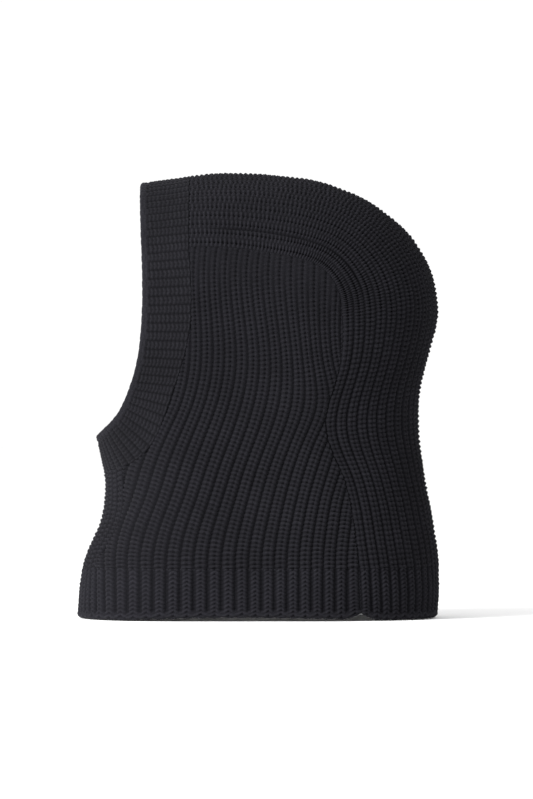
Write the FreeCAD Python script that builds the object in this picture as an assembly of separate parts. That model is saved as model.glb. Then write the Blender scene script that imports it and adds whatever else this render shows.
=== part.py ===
import FreeCAD, Part

import math
import os

from FreeCAD import Vector

# A chunky ribbed wool balaclava, knitted as shaped panels that are linked together with yarn.
# Millimetres. The face looks along -Y, the wearer's left is +X, and the hem stands on Z = 0
# with the origin at the middle of its footprint.

# ---------------------------------------------------------------- driving dimensions
KNIT_THICKNESS = 5.0
SEAM_GAP = 3.0
CHIN_EASE = 1.2
THREAD_RADIUS = 0.85
THREAD_STEP = 4.0
HEM_HEIGHT = 42.0

# Above the hem, the height over which the panels' cut ends turn from level to square.
LEVEL_ZONE = 20.0

# Half-width of the hood at a few heights, (Z, half-width), before its corners are rounded.
WIDTH_PROFILE = [(0, 100), (42, 95), (105, 82), (160, 79), (215, 84), (265, 88), (400, 88)]

# How far in from its outline, seen from the side, the hood reaches its full width.
BACK_ROUNDING = 122.0
FRONT_ROUNDING = 95.0
ROUNDNESS = 2.25

# Side outline in the centre plane as (Y, Z): from the front of the crown over the back to the hem.
RIDGE = [(-98, 357), (-57, 363.5), (0, 365), (50, 358), (100, 336), (133, 302), (147, 252),
         (139, 214), (131.5, 165), (137, 115), (146, 63), (148, 42), (147, 0)]

# The seam between the crown and back panel and the side panel. Each point faces a ridge point,
# and the first and last ridge points have none.
CROWN_SEAM = [(-57, 303), (-8, 301), (28, 295), (53, 285), (65, 267), (68, 243),
              (66, 207), (54, 158), (69, 115), (79, 63), (82, 42)]

# The side panel's top border ends, and its back border begins, at this point of the crown seam.
CROWN_SEAM_CORNER = (65, 267)

# Front outline: a guide in front of the face, then the tip of the chin and the throat to the hem.
FRONT = [(-137, 380), (-137, 250), (-134.5, 150), (-128, 121), (-127, 103), (-130, 80),
         (-138, 62), (-144, 47), (-148, 25), (-149, 0)]
CHIN = 2
THROAT_TOP = 3

# The face band: points along its free edge and, facing them, along the seam behind it.
BAND_EDGE = [(-98, 357), (-96.5, 300), (-96.5, 238), (-100.5, 208), (-109, 182), (-118.5, 165),
             (-126.5, 157), (-134.5, 150)]
BAND_SEAM = [(-57, 363.5), (-57, 303), (-56, 238), (-63, 206), (-74.5, 173), (-90, 139.5),
             (-107, 126), (-128, 121)]

# Where the side panel turns the corner under the band, as fractions of the way along two seams.
BAND_CORNER = 0.7
NECK_CORNER = 0.9

# The line between the front neck panel and the side panel, from the hem up to the face band.
NECK_SEAM = [(-134, 42), (-127, 57), (-115, 77), (-111, 95), (-111, 110), (-111.5, 124.5)]

# The side seam of the hem, from its foot to its top.
HEM_SIDE_SEAM = [(84, 0), (83, 21), (82, 42)]

# Blank labels: the neck label hangs inside the nape, the care label inside the left side seam.
LABEL_THICKNESS = 0.8
LABEL_STITCH_RADIUS = 0.4
LABEL_STITCHES = 5
NECK_LABEL_WIDTH = 36.0
NECK_LABEL_DROP = 40.0
NECK_LABEL_TOP = Vector(0, 122.6, 156)
CARE_LABEL_HEIGHT = 28.0
CARE_LABEL_LENGTH = 45.0
CARE_LABEL_ROOT = Vector(70.6, 75, 72)
CARE_LABEL_LEAN = 13.0


# ---------------------------------------------------------------- curves and the hood's surface
def chord_lengths(points):
    """Distance along a row of (Y, Z) points at each of them."""
    lengths = [0.0]
    for a, b in zip(points, points[1:]):
        lengths.append(lengths[-1] + math.dist(a, b))
    return lengths


def smooth_curve(points, parameters=None):
    """A smooth curve in the YZ plane through (Y, Z) points, at the given parameters."""
    curve = Part.BSplineCurve()
    if parameters is None:
        parameters = chord_lengths(points)
    curve.interpolate(Points=[Vector(0, y, z) for y, z in points], Parameters=parameters)
    return curve


def along(curve, fraction):
    """The point at a fraction of a curve's parameter range."""
    first, last = curve.FirstParameter, curve.LastParameter
    return curve.value(first + fraction * (last - first))


def polyline(curve, count):
    """Evenly spaced points on a curve, as (Y, Z) pairs."""
    points = [along(curve, i / count) for i in range(count + 1)]
    return [(p.y, p.z) for p in points]


def distance_to(line, y, z):
    """Shortest distance from (y, z) to a polyline."""
    best = 1e9
    for (ay, az), (by, bz) in zip(line, line[1:]):
        dy, dz = by - ay, bz - az
        t = ((y - ay) * dy + (z - az) * dz) / (dy * dy + dz * dz)
        t = min(1.0, max(0.0, t))
        best = min(best, math.hypot(y - ay - t * dy, z - az - t * dz))
    return best


def moved_right(points, distance):
    """A row of (Y, Z) points moved sideways, to the right of the way that they run."""
    moved = []
    last = len(points) - 1
    for i, (y, z) in enumerate(points):
        (ay, az), (by, bz) = points[max(0, i - 1)], points[min(last, i + 1)]
        length = math.dist((ay, az), (by, bz))
        moved.append((y + distance * (bz - az) / length, z - distance * (by - ay) / length))
    return moved


def rounding(t):
    """A superellipse quarter: 0 on the outline, 1 where the full width is reached."""
    if t >= 1.0:
        return 1.0
    return (1.0 - (1.0 - t) ** ROUNDNESS) ** (1.0 / ROUNDNESS)


RIDGE_LENGTHS = chord_lengths(RIDGE)
RIDGE_CURVE = smooth_curve(RIDGE)
FRONT_CURVE = smooth_curve(FRONT)
WIDTH_CURVE = smooth_curve(WIDTH_PROFILE)
CROWN_SEAM_CURVE = smooth_curve(CROWN_SEAM, RIDGE_LENGTHS[1:-1])
BAND_EDGE_CURVE = smooth_curve(BAND_EDGE)
BAND_SEAM_CURVE = smooth_curve(BAND_SEAM, chord_lengths(BAND_EDGE))
NECK_SEAM_CURVE = smooth_curve(NECK_SEAM)
HEM_SEAM_CURVE = smooth_curve(HEM_SIDE_SEAM)

RIDGE_LINE = polyline(RIDGE_CURVE, 500)
FRONT_LINE = polyline(FRONT_CURVE, 500)
WIDTH_LINE = polyline(WIDTH_CURVE, 60)


def full_width(z):
    """Half-width of the hood at height z, before rounding."""
    for (z0, w0), (z1, w1) in zip(WIDTH_LINE, WIDTH_LINE[1:]):
        if z <= z1:
            return w0 + (w1 - w0) * (z - z0) / (z1 - z0)
    return WIDTH_LINE[-1][1]


def half_width(y, z):
    """Half-width of the hood at a point of its side view."""
    back = rounding(distance_to(RIDGE_LINE, y, z) / BACK_ROUNDING)
    front = rounding(distance_to(FRONT_LINE, y, z) / FRONT_ROUNDING)
    return full_width(z) * back * front


def height_on(curve, z, low, high):
    """The point of a curve at height z, between two of its parameters."""
    falling = curve.value(low).z > curve.value(high).z
    for _ in range(40):
        middle = 0.5 * (low + high)
        above = curve.value(middle).z > z
        if above == falling:
            low = middle
        else:
            high = middle
    return curve.value(low)


# ---------------------------------------------------------------- surfaces, each a function of (u, v)
def arch_point(ridge, seam, u):
    """A point on an arch from the right seam (u = 0) over the centre plane to the left seam (1)."""
    k = 2.0 * u - 1.0
    flat = ridge + (seam - ridge) * (k * k)
    if abs(k) < 1e-9:
        return Vector(0, flat.y, flat.z)
    return Vector(math.copysign(half_width(flat.y, flat.z), k), flat.y, flat.z)


def crown_surface(u, v):
    """From the forehead (v = 0) over the crown and down the nape to the hem (v = 1)."""
    first, last = RIDGE_LENGTHS[1], RIDGE_LENGTHS[-2]
    t = first + v * (last - first)
    return arch_point(RIDGE_CURVE.value(t), CROWN_SEAM_CURVE.value(t), u)


def throat_surface(u, v):
    """The front neck panel, from the hem (v = 0) up to the chin (v = 1)."""
    seam = along(NECK_SEAM_CURVE, v)
    lengths = chord_lengths(FRONT)
    top = Vector(0, *FRONT[THROAT_TOP])
    z = HEM_HEIGHT + v * (top.z - HEM_HEIGHT)
    return arch_point(height_on(FRONT_CURVE, z, lengths[CHIN], lengths[-1]), seam, u)


def hem_front_surface(u, v):
    """The front of the hem, between the side seams."""
    seam = along(HEM_SEAM_CURVE, v)
    lengths = chord_lengths(FRONT)
    return arch_point(height_on(FRONT_CURVE, seam.z, lengths[CHIN], lengths[-1]), seam, u)


def hem_back_surface(u, v):
    """The back of the hem, between the side seams."""
    seam = along(HEM_SEAM_CURVE, v)
    ridge = height_on(RIDGE_CURVE, seam.z, RIDGE_LENGTHS[-4], RIDGE_LENGTHS[-1])
    return arch_point(ridge, seam, u)


def side_borders():
    """The side panel's front, top and back borders, half a seam gap inside the seam lines."""
    half_gap = 0.5 * SEAM_GAP
    foot = HEM_HEIGHT + half_gap
    corner_y = CROWN_SEAM[0][0] + half_gap
    corner_z = CROWN_SEAM[0][1] - half_gap
    lengths = chord_lengths(BAND_EDGE)
    t_low = lengths[-3] + BAND_CORNER * (lengths[-2] - lengths[-3])
    t_high = lengths[0]
    steps = 36
    band = [BAND_SEAM_CURVE.value(t_low + (t_high - t_low) * i / steps) for i in range(steps + 1)]
    neck = [along(NECK_SEAM_CURVE, NECK_CORNER * i / 8) for i in range(9)]
    front = moved_right([(p.y, p.z) for p in neck + band], half_gap)
    front = [(y, z) for y, z in front if foot < z < corner_z - 2.0]
    front = [(NECK_SEAM[0][0] + half_gap, foot)] + front + [(corner_y, corner_z)]
    seam = moved_right(polyline(CROWN_SEAM_CURVE, 70), half_gap)
    seam = [(y, z) for y, z in seam if y > corner_y + 2.0 and z > foot + 2.0]
    split = min(range(len(seam)), key=lambda i: math.dist(seam[i], CROWN_SEAM_CORNER))
    top = [(corner_y, corner_z)] + seam[:split + 1]
    back = [(CROWN_SEAM[-1][0] - half_gap, foot)] + seam[:split - 1:-1]
    return smooth_curve(front), smooth_curve(top), smooth_curve(back)


SIDE_FRONT, SIDE_TOP, SIDE_BACK = side_borders()


def side_surface(u, v):
    """A side panel from front (u = 0) to back (1) and from the hem (v = 0) to the crown seam (1)."""
    front, back = along(SIDE_FRONT, v), along(SIDE_BACK, v)
    top = along(SIDE_TOP, u)
    foot_front, foot_back = along(SIDE_FRONT, 0), along(SIDE_BACK, 0)
    top_front, top_back = along(SIDE_TOP, 0), along(SIDE_TOP, 1)
    bottom = foot_front + (foot_back - foot_front) * u
    flat = front * (1 - u) + back * u + bottom * (1 - v) + top * v
    flat = flat - (foot_front * (1 - u) + foot_back * u) * (1 - v)
    flat = flat - (top_front * (1 - u) + top_back * u) * v
    return Vector(half_width(flat.y, flat.z), flat.y, flat.z)


def side_inward(u, v):
    """Unit normal of a side panel, towards the inside, from the slope of its half-width."""
    step = 0.8
    point = side_surface(u, v)
    slope_y = half_width(point.y + step, point.z) - half_width(point.y - step, point.z)
    slope_z = half_width(point.y, point.z + step) - half_width(point.y, point.z - step)
    normal = Vector(-2.0 * step, slope_y, slope_z)
    normal.normalize()
    return normal


def band_surface(u, v):
    """The face band: u runs from its free edge (0) to its seam (1), v from chin to chin."""
    k = 2.0 * v - 1.0
    sigma = 0.5 - 0.5 * math.cos(math.pi * abs(k))
    ends = []
    for curve in (BAND_EDGE_CURVE, BAND_SEAM_CURVE):
        flat = along(curve, sigma)
        x = 0.0
        if 1e-9 < sigma < 1.0 - 1e-9:
            x = half_width(flat.y, flat.z)
        x = x + 0.5 * SEAM_GAP * sigma ** 8
        ends.append(Vector(math.copysign(x, k), flat.y, flat.z))
    if abs(k) < 1e-9:
        ends = [Vector(0, p.y, p.z) for p in ends]
    return ends[0] * (1 - u) + ends[1] * u


# ---------------------------------------------------------------- solids
def slopes(surface, u, v):
    """Derivatives of a surface along u and v."""
    step = 0.004
    u0, u1 = max(0.0, u - step), min(1.0, u + step)
    v0, v1 = max(0.0, v - step), min(1.0, v + step)
    along_u = (surface(u1, v) - surface(u0, v)) * (1.0 / (u1 - u0))
    along_v = (surface(u, v1) - surface(u, v0)) * (1.0 / (v1 - v0))
    return along_u, along_v


def inward(surface, u, v):
    """Unit normal of a surface, towards the inside of the hood."""
    if surface is side_surface:
        return side_inward(u, v)
    along_u, along_v = slopes(surface, u, v)
    normal = along_u.cross(along_v)
    normal.normalize()
    point = surface(u, v)
    middle = Vector(0, 0, min(250.0, point.z))
    if normal.dot(middle - point) < 0:
        normal = normal * -1.0
    return normal


def inner_point(surface, u, v):
    """The point of the knit's inner face under (u, v). The hem's faces are level."""
    point = surface(u, v)
    inner = point + inward(surface, u, v) * KNIT_THICKNESS
    level = (HEM_HEIGHT + LEVEL_ZONE - point.z) / LEVEL_ZONE
    level = min(1.0, max(0.0, level))
    inner.z = inner.z + (point.z - inner.z) * level
    return inner


def inset_range(surface, v, start, end):
    """The range of u at v that leaves the given distances free at u = 0 and u = 1."""
    low = start / slopes(surface, 0.0, v)[0].Length
    high = 1.0 - end / slopes(surface, 1.0, v)[0].Length
    return low, high


def quilt(surface, gaps, count_u, count_v):
    """A knitted panel: the surface and its copy inside, closed all round by four rims.

    gaps are the distances left free at u = 0, u = 1, v = 0 and v = 1."""
    v_low = gaps[2] / slopes(surface, 0.5, 0.0)[1].Length
    v_high = 1.0 - gaps[3] / slopes(surface, 0.5, 1.0)[1].Length
    outer, inner = [], []
    for j in range(count_v + 1):
        v = v_low + (v_high - v_low) * j / count_v
        u_low, u_high = inset_range(surface, v, gaps[0], gaps[1])
        outer_row, inner_row = [], []
        for i in range(count_u + 1):
            u = u_low + (u_high - u_low) * i / count_u
            outer_row.append(surface(u, v))
            inner_row.append(inner_point(surface, u, v))
        outer.append(outer_row)
        inner.append(inner_row)
    return closed_quilt(outer, inner)


def closed_quilt(outer_points, inner_points):
    """A solid between two grids of points. A rim that lies on the ground is a flat face."""
    sheets = []
    for grid in (outer_points, inner_points):
        sheet = Part.BSplineSurface()
        sheet.interpolate(grid)
        sheets.append(sheet)
    outer, inner = sheets
    faces = [outer.toShape(), inner.toShape()]
    outer_bounds, inner_bounds = outer.bounds(), inner.bounds()
    for side in range(4):
        at_outer, at_inner = outer_bounds[side], inner_bounds[side]
        if side < 2:
            edges = [outer.uIso(at_outer).toShape(), inner.uIso(at_inner).toShape()]
        else:
            edges = [outer.vIso(at_outer).toShape(), inner.vIso(at_inner).toShape()]
        rim = Part.makeRuledSurface(*edges)
        if rim.BoundBox.ZMax < 1e-6:
            rim = Part.Face(Part.Wire(Part.__sortEdges__(rim.Edges)))
        faces.append(rim)
    shell = Part.makeShell(faces)
    shell.sewShape()
    solid = Part.makeSolid(shell)
    if solid.Volume < 0:
        solid.reverse()
    return solid


def thread(points, across):
    """A round yarn that runs through points; across holds a crosswise direction at each."""
    sections = []
    last = len(points) - 1
    for i, point in enumerate(points):
        circle = Part.Circle()
        circle.Radius = THREAD_RADIUS
        circle.Center = point
        circle.Axis = points[min(last, i + 1)] - points[max(0, i - 1)]
        circle.XAxis = across[i]
        sections.append(Part.Wire(circle.toShape()))
    return Part.makeLoft(sections, True, True)


def seam_thread(surface, start, end):
    """A yarn in the middle of the knit's thickness, along a line of the surface's (u, v)."""
    count = 400
    points, across = [], []
    for i in range(count + 1):
        t = i / count
        u = start[0] + (end[0] - start[0]) * t
        v = start[1] + (end[1] - start[1]) * t
        outer, inner = surface(u, v), inner_point(surface, u, v)
        point = (outer + inner) * 0.5
        if not points or (point - points[-1]).Length >= THREAD_STEP:
            points.append(point)
            across.append(outer - inner)
    return thread(points, across)


def mirrored(shape):
    """The same shape on the wearer's right."""
    return shape.mirror(Vector(0, 0, 0), Vector(1, 0, 0))


def label(width, drop):
    """A blank woven label that hangs down from the X axis, and the stitches along its top."""
    half = 0.5 * LABEL_THICKNESS
    tape = Part.makeBox(width, LABEL_THICKNESS, drop, Vector(-0.5 * width, -half, -drop))
    pitch = width / LABEL_STITCHES
    stitches = []
    for i in range(LABEL_STITCHES):
        x = (i + 0.25) * pitch - 0.5 * width
        start = Vector(x, -half - 0.7 * LABEL_STITCH_RADIUS, -2.0)
        stitches.append(Part.makeCylinder(LABEL_STITCH_RADIUS, 0.5 * pitch, start, Vector(1, 0, 0)))
    return tape, Part.makeCompound(stitches)


def neck_label():
    """The neck label, hanging clear of the nape."""
    tape, stitches = label(NECK_LABEL_WIDTH, NECK_LABEL_DROP)
    for shape in (tape, stitches):
        shape.translate(NECK_LABEL_TOP)
    return tape, stitches


def care_label():
    """The care label: held by one upright end, it points forwards along the side wall."""
    tape, stitches = label(CARE_LABEL_HEIGHT, CARE_LABEL_LENGTH)
    for shape in (tape, stitches):
        shape.rotate(Vector(0, 0, 0), Vector(0, 1, 0), 90)
        shape.rotate(Vector(0, 0, 0), Vector(0, 0, 1), 90 - CARE_LABEL_LEAN)
        shape.translate(CARE_LABEL_ROOT)
    return tape, stitches


# ---------------------------------------------------------------- the hood
def build():
    """Every sub-part of the balaclava, by node name."""
    half_gap = 0.5 * SEAM_GAP
    chin_gap = half_gap + CHIN_EASE
    side = quilt(side_surface, (0.0,) * 4, 18, 34)
    nodes = {
        "crown_back_panel": quilt(crown_surface, (half_gap,) * 4, 22, 40),
        "side_panel_left": side,
        "side_panel_right": mirrored(side),
        "front_neck_panel": quilt(throat_surface, (half_gap, half_gap, half_gap, chin_gap), 14, 12),
        "face_band": quilt(band_surface, (0.0, half_gap, 0.0, 0.0), 4, 60),
        "hem_rib_front": quilt(hem_front_surface, (half_gap, half_gap, 0.0, half_gap), 34, 4),
        "hem_rib_back": quilt(hem_back_surface, (half_gap, half_gap, 0.0, half_gap), 20, 4),
    }
    crown_left = seam_thread(crown_surface, (1.0, 0.006), (1.0, 0.994))
    neck_left = seam_thread(throat_surface, (1.0, 0.03), (1.0, 0.94))
    hem_side = seam_thread(hem_front_surface, (1.0, 0.05), (1.0, 0.92))
    nodes.update({
        "band_seam_thread": seam_thread(band_surface, (1.0, 0.004), (1.0, 0.996)),
        "chin_seam_thread": seam_thread(band_surface, (0.06, 1.0), (0.9, 1.0)),
        "crown_seam_thread_left": crown_left,
        "crown_seam_thread_right": mirrored(crown_left),
        "neck_seam_thread_left": neck_left,
        "neck_seam_thread_right": mirrored(neck_left),
        "hem_seam_thread_front": seam_thread(hem_front_surface, (0.006, 1.0), (0.994, 1.0)),
        "hem_seam_thread_back": seam_thread(hem_back_surface, (0.01, 1.0), (0.99, 1.0)),
        "side_seam_thread_left": hem_side,
        "side_seam_thread_right": mirrored(hem_side),
    })
    nodes["neck_label"], nodes["neck_label_stitches"] = neck_label()
    nodes["care_label"], nodes["care_label_stitches"] = care_label()
    return nodes


def main():
    os.makedirs("parts", exist_ok=True)
    for name, shape in build().items():
        shape.exportStep("parts/" + name + ".step")
        box = shape.BoundBox
        print(name, "valid" if shape.isValid() else "INVALID", "volume", round(shape.Volume),
              "solids", len(shape.Solids), "Y", round(box.YMin, 1), round(box.YMax, 1),
              "Z", round(box.ZMin, 1), round(box.ZMax, 1), "X", round(box.XMin, 1), round(box.XMax, 1))


main()
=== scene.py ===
import math

import bpy
import numpy as np
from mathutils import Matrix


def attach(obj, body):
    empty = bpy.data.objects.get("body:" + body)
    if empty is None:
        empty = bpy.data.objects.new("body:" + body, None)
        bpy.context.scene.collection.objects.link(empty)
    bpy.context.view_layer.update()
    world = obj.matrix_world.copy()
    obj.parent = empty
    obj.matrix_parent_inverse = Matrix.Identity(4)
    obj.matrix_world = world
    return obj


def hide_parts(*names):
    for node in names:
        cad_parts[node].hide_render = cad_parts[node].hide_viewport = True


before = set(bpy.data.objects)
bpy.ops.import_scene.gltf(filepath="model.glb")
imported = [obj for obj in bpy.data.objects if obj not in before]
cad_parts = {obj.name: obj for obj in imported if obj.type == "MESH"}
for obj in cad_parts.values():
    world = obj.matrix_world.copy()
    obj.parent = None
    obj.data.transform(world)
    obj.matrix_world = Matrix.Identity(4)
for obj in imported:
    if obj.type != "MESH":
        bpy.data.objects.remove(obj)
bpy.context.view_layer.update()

# A chunky ribbed wool balaclava. The knit is worked out in millimetres, over the same surfaces as
# the CAD panels, and turned into metres when a mesh is made. The face looks along -Y, the
# wearer's left is +X, and the hem stands on Z = 0.
METRES_PER_MM = 0.001

# ---------------------------------------------------------------- driving dimensions, as in the CAD
KNIT_THICKNESS = 5.0
HEM_HEIGHT = 42.0
WIDTH_PROFILE = [(0, 100), (42, 95), (105, 82), (160, 79), (215, 84), (265, 88), (400, 88)]
BACK_ROUNDING = 122.0
FRONT_ROUNDING = 95.0
ROUNDNESS = 2.25
HEAD_CENTRE_HEIGHT = 250.0

# Side outline in the centre plane as (Y, Z): from the front of the crown over the back to the hem.
RIDGE = [(-98, 357), (-57, 363.5), (0, 365), (50, 358), (100, 336), (133, 302), (147, 252),
         (139, 214), (131.5, 165), (137, 115), (146, 63), (148, 42), (147, 0)]

# The seam between the crown and back panel and the side panel, facing the ridge's inner points.
CROWN_SEAM = [(-57, 303), (-8, 301), (28, 295), (53, 285), (65, 267), (68, 243),
              (66, 207), (54, 158), (69, 115), (79, 63), (82, 42)]

# Front outline, from a guide in front of the face to the chin, the throat and the hem.
FRONT = [(-137, 380), (-137, 250), (-134.5, 150), (-128, 121), (-127, 103), (-130, 80),
         (-138, 62), (-144, 47), (-148, 25), (-149, 0)]
THROAT_TOP = 3

# The face band's free edge and, facing it, its seam; the neck seam; the side seam of the hem.
BAND_EDGE = [(-98, 357), (-96.5, 300), (-96.5, 238), (-100.5, 208), (-109, 182), (-118.5, 165),
             (-126.5, 157), (-134.5, 150)]
BAND_SEAM = [(-57, 363.5), (-57, 303), (-56, 238), (-63, 206), (-74.5, 173), (-90, 139.5),
             (-107, 126), (-128, 121)]
NECK_SEAM = [(-134, 42), (-127, 57), (-115, 77), (-111, 95), (-111, 110), (-111.5, 124.5)]
HEM_SIDE_SEAM = [(84, 0), (82, 42)]

# ---------------------------------------------------------------- how the knit runs
# Distance from a panel's cut edge to the middle of its seam. Edges roll inwards, by a depth and
# over a width, and more at a free edge than at a seam.
SEAM_MARGIN = 0.06
SEAM_ROLL = (0.2, 0.8)
FREE_ROLL = (2.1, 3.0)

# Length of one stitch along a rib.
STITCH_LENGTH = 3.6

# Side panel: Y of a few ribs, by rib number, at a row of heights. Ribs between them follow suit.
RIB_HEIGHTS = [303, 244, 204, 172, 148, 124, 100, 76, 52, 42]
RIB_GUIDES = {
    -13: [-90, -90, -92, -103, -118, -130, -136, -141, -145, -144.3],
    -6: [-29, -29, -28, -35, -44, -53, -61, -70, -75, -75],
    0: [24, 24, 28, 26, 18, 9, 2, -4, -8, -8],
    4: [60, 58, 62, 67, 57, 48, 41, 36, 33, 33],
    10: [112, 109, 114, 122, 117, 108, 98, 95, 92, 91.5],
}

# The side panel's rib that meets the front end of its lower edge.
FIRST_SIDE_RIB = -12.0

# Ribs in half of each panel, counted from the centre plane to its side edge.
CROWN_RIBS = 13
NECK_RIBS = 6
HEM_FRONT_RIBS = 27
HEM_BACK_RIBS = CROWN_RIBS
BAND_RIB_PITCH = 7.3

# Between these places along Y the hem is lifted a little off the ground. Its cast-on edge has
# shallow grooves, a scallop under each of them, and a notch at the side seams.
LIFT_FROM, LIFT_TO, LIFT_HEIGHT = -105.0, 84.0, 2.4
CAST_ON_HEIGHT = 3.4
CAST_ON_GROOVES = 0.15
CORNER_NOTCH_HEIGHT, CORNER_NOTCH_WIDTH = 4.8, 8.5
SCALLOP_HEIGHT = 0.7

# The band's free edge is a tube this wide, with a fold line behind it. The tube gets a painted
# highlight.
TUBE_WIDTH = 6.5

# Relief of the knit, in mm: the height of a rib, the share of it that its groove takes, the depth
# of the line between the two arms of a stitch, the height of a stitch, how far its arms run back,
# and the height of the crests over the CAD.
PANEL_KNIT = {
    "rib": 3.0, "groove": 0.14, "split": 1.1, "stitch": 2.1, "slant": 0.14, "proud": 0.9,
}
BAND_KNIT = {
    "rib": 2.0, "groove": 0.05, "split": 0.3, "stitch": 1.0, "slant": 0.35, "proud": 0.6,
}
HEM_KNIT = {
    "rib": 2.6, "groove": 0.36, "split": 0.8, "stitch": 1.5, "slant": 0.75, "proud": 0.6,
}

# Exponents: below 1 they square off the section of a rib, and above 1 they narrow the crest of a
# stitch and bend its arms. The line down its middle and its drift along the rib are shares of it.
RIB_SECTION, STITCH_SECTION, ARM_BEND = 0.42, 1.2, 1.2
SPLIT_WIDTH = 0.10
DRIFT = 0.22

# The painted shade of a stitch's crest on the outside: grooves are painted darker, and the
# inside is painted lighter.
CREST_SHADE = 0.6

# The knit is flatter in these spans of height: on the crown, on the upper side panel, and under
# the crown seam; on the side panel it is painted darker there too, as painted shade. Beside that
# seam a groove of the crown panel is deeper, behind this Y and over this height, and the side panel
# lies lower.
CROWN_FLAT = (200.0, 80.0)
SIDE_FLAT = (110.0, 120.0)
SIDE_TOP_FLAT = 45.0
SEAM_RIB, SEAM_RIB_REACH, SEAM_RIB_EXTRA = 11.0, 0.4, 1.5
SEAM_RIB_BEHIND, SEAM_RIB_OVER = (-50.0, 40.0), (260.0, 35.0)
SIDE_DIP, SIDE_DIP_REACH, SIDE_DIP_OVER = 1.2, 28.0, 215.0

# The linking yarn lies in the middle of the knit's thickness.
YARN_DEPTH = 3.1
YARN_RADIUS = 0.62
YARN_TWIST = 0.5
YARN_PITCH = 6.0
TUBE_SIDES = 8

LABEL_THICKNESS = 0.8
LABEL_STITCHES = 5
NECK_LABEL = {"width": 36.0, "drop": 40.0, "top": (0.0, 122.6, 156.0)}
CARE_LABEL = {"width": 28.0, "drop": 45.0, "top": (70.6, 75.0, 72.0), "lean": 13.0}


# ---------------------------------------------------------------- curves
def chord_lengths(points):
    """Distance along a row of points at each of them."""
    steps = np.linalg.norm(np.diff(np.asarray(points, float), axis=0), axis=1)
    return np.concatenate([[0.0], np.cumsum(steps)])


class SmoothCurve:
    """A cubic curve through points, the same family as the CAD's interpolated splines."""

    def __init__(self, points, parameters=None):
        self.points = np.asarray(points, float)
        self.knots = chord_lengths(points) if parameters is None else np.asarray(parameters, float)
        count = len(self.knots)
        gaps = np.diff(self.knots)
        rises = np.diff(self.points, axis=0) / gaps[:, None]
        system = np.zeros((count, count))
        target = np.zeros(self.points.shape)
        for i in range(1, count - 1):
            system[i, i - 1:i + 2] = gaps[i - 1], 2.0 * (gaps[i - 1] + gaps[i]), gaps[i]
            target[i] = 6.0 * (rises[i] - rises[i - 1])
        if count > 2:
            system[0, :3] = gaps[1], -gaps[0] - gaps[1], gaps[0]
            system[-1, -3:] = gaps[-1], -gaps[-1] - gaps[-2], gaps[-2]
        self.bends = np.linalg.lstsq(system, target, rcond=None)[0]

    def __call__(self, t):
        t = np.asarray(t, float)
        i = np.clip(np.searchsorted(self.knots, t) - 1, 0, len(self.knots) - 2)
        gap = (self.knots[i + 1] - self.knots[i])[..., None]
        after = (t - self.knots[i])[..., None]
        before = gap - after
        low, high = self.points[i], self.points[i + 1]
        bend_low, bend_high = self.bends[i], self.bends[i + 1]
        curve = (bend_low * before ** 3 + bend_high * after ** 3) / (6.0 * gap)
        curve = curve + (low / gap - bend_low * gap / 6.0) * before
        return curve + (high / gap - bend_high * gap / 6.0) * after

    def row(self, count):
        """Evenly spaced points on the curve."""
        return self(np.linspace(self.knots[0], self.knots[-1], count))


RIDGE_LENGTHS = chord_lengths(RIDGE)
RIDGE_CURVE = SmoothCurve(RIDGE)
FRONT_CURVE = SmoothCurve(FRONT)
WIDTH_ROW = SmoothCurve(WIDTH_PROFILE).row(61)
CROWN_SEAM_CURVE = SmoothCurve(CROWN_SEAM, RIDGE_LENGTHS[1:-1])
BAND_EDGE_CURVE = SmoothCurve(BAND_EDGE)
BAND_SEAM_CURVE = SmoothCurve(BAND_SEAM, chord_lengths(BAND_EDGE))
NECK_SEAM_CURVE = SmoothCurve(NECK_SEAM)
RIDGE_ROW = RIDGE_CURVE.row(260)
NAPE_ROW = RIDGE_ROW[RIDGE_ROW[:, 1] < 100.0]
FRONT_ROW = FRONT_CURVE.row(180)


def distance_to(line, points):
    """Shortest distance from each (Y, Z) point to a polyline."""
    start, step = line[:-1], np.diff(line, axis=0)
    square = (step ** 2).sum(1)
    flat = points.reshape(-1, 2)
    best = np.empty(len(flat))
    chunk = 20000
    for low in range(0, len(flat), chunk):
        away = flat[low:low + chunk, None, :] - start[None]
        t = np.clip((away * step).sum(2) / square, 0.0, 1.0)
        best[low:low + chunk] = np.sqrt(((away - t[..., None] * step) ** 2).sum(2).min(1))
    return best.reshape(points.shape[:-1])


def rounding(t):
    """A superellipse quarter: 0 on the outline, 1 where the full width is reached."""
    t = np.clip(t, 0.0, 1.0)
    return (1.0 - (1.0 - t) ** ROUNDNESS) ** (1.0 / ROUNDNESS)


def half_width(points):
    """Half-width of the hood at (Y, Z) points of its side view."""
    full = np.interp(points[..., 1], WIDTH_ROW[:, 0], WIDTH_ROW[:, 1])
    back = rounding(distance_to(RIDGE_ROW, points) / BACK_ROUNDING)
    front = rounding(distance_to(FRONT_ROW, points) / FRONT_ROUNDING)
    return full * back * front


def over(points):
    """The (X, Y, Z) points of the hood's left side over (Y, Z) points."""
    return np.concatenate([half_width(points)[..., None], points], axis=-1)


def moved_right(points, distance):
    """A row of (Y, Z) points moved sideways, to the right of the way that they run."""
    run = np.gradient(points, axis=0)
    run = run / np.linalg.norm(run, axis=1, keepdims=True)
    return points + distance * np.stack([run[:, 1], -run[:, 0]], axis=1)


def smooth_step(t):
    """0 below 0, 1 above 1, and a smooth rise between."""
    t = np.clip(t, 0.0, 1.0)
    return t * t * (3.0 - 2.0 * t)


def rise(values, span):
    """A smooth rise from 0 to 1 that starts at a value and takes a width: span holds both."""
    start, width = span
    return smooth_step((values - start) / width)
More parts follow.
